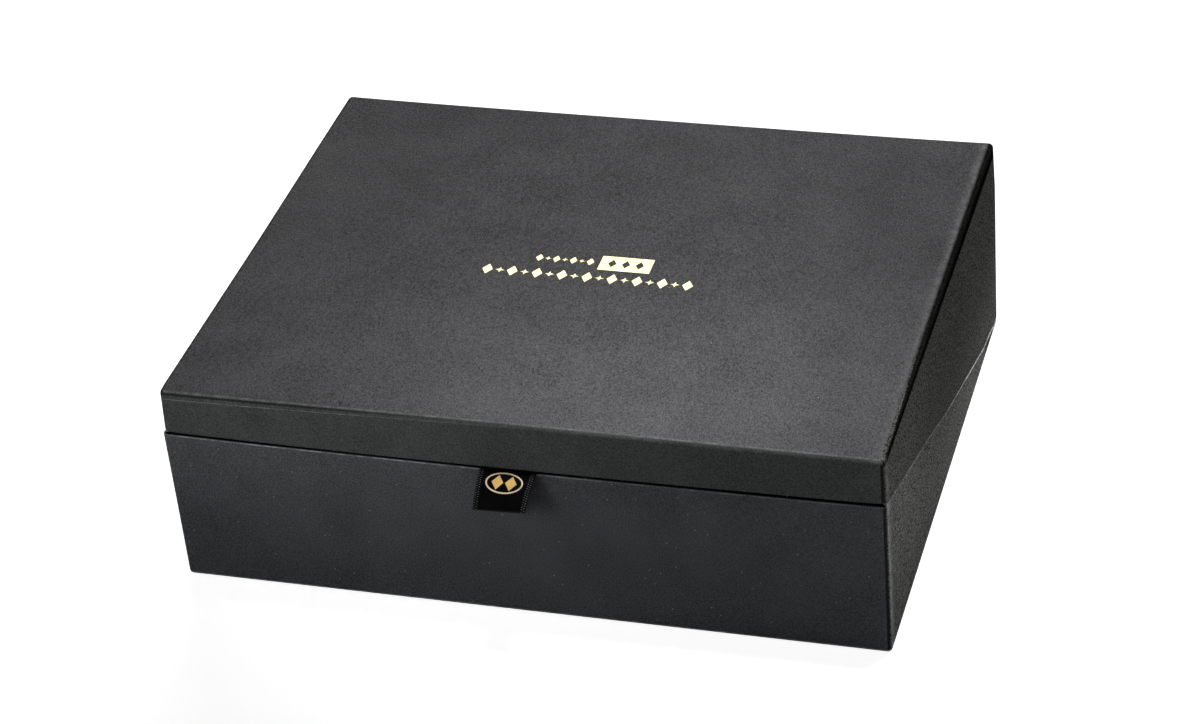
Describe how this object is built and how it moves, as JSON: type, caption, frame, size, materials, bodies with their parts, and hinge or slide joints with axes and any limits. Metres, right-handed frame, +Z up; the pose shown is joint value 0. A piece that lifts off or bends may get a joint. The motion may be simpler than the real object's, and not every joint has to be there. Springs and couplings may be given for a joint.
{
  "type": "hinged presentation box",
  "caption": "Rectangular black paper-covered presentation box with a hinged lid, a slanted parting line, a ribbon pull tab and an inner liner with dividers.",
  "frame": {"origin": "centre of the base's underside, on the surface that the box stands on", "axes": "+X to the box's right along its width, +Y to its rear where the lid is hinged, +Z up"},
  "size_m": [0.34, 0.2919, 0.1061],
  "materials": {
    "covering_paper": "matt charcoal-black covering paper with a fine leather-like grain",
    "lining_paper": "plain matt black lining paper",
    "underside_paper": "plain matt black paper on the underside",
    "liner_board": "board covered with matt black paper",
    "grey_board": "bare recycled grey board, hidden under the papers",
    "corner_tape": "gummed brown paper tape, hidden under the papers",
    "hinge_cloth": "black book cloth with a fine plain weave",
    "satin_ribbon": "black satin ribbon with woven edges",
    "gold_foil": "pale gold foil, hot stamped"
  },
  "bodies": {
    "base": {"base_bottom_board": "grey_board", "base_front_board": "grey_board", "base_left_board": "grey_board", "base_right_board": "grey_board", "base_corner_stays": "corner_tape", "base_wrap": "covering_paper", "base_wall_lining": "lining_paper", "base_floor_lining": "lining_paper", "base_underside_sheet": "underside_paper", "hinge_cloth_base_leaf": "hinge_cloth", "liner_front_panel": "liner_board", "liner_rear_panel": "liner_board", "liner_left_panel": "liner_board", "liner_right_panel": "liner_board", "divider_long": "liner_board", "divider_cross_left": "liner_board", "divider_cross_right": "liner_board"},
    "lid": {"lid_top_board": "grey_board", "lid_front_board": "grey_board", "lid_rear_board": "grey_board", "lid_left_board": "grey_board", "lid_right_board": "grey_board", "lid_corner_stays": "corner_tape", "lid_wrap": "covering_paper", "lid_wall_lining": "lining_paper", "lid_top_lining": "lining_paper", "hinge_cloth_lid_leaf": "hinge_cloth", "lid_ornament": "gold_foil", "ribbon_anchor": "satin_ribbon"},
    "tab": {"ribbon_tab": "satin_ribbon", "tab_emblem": "gold_foil"}
  },
  "joints": [
    {"name": "lid_hinge", "type": "hinge", "parent": "base", "child": "lid", "pos_m": [0, 0.1365, 0.0036], "axis": [-1, 0, 0], "range_deg": [0, 91]},
    {"name": "tab_flex", "type": "hinge", "parent": "lid", "child": "tab", "pos_m": [-0.0028, -0.1377, 0.0815], "axis": [-1, 0, 0], "range_deg": [-55, 100], "stiffness_Nm_per_rad": 0.002}
  ]
}
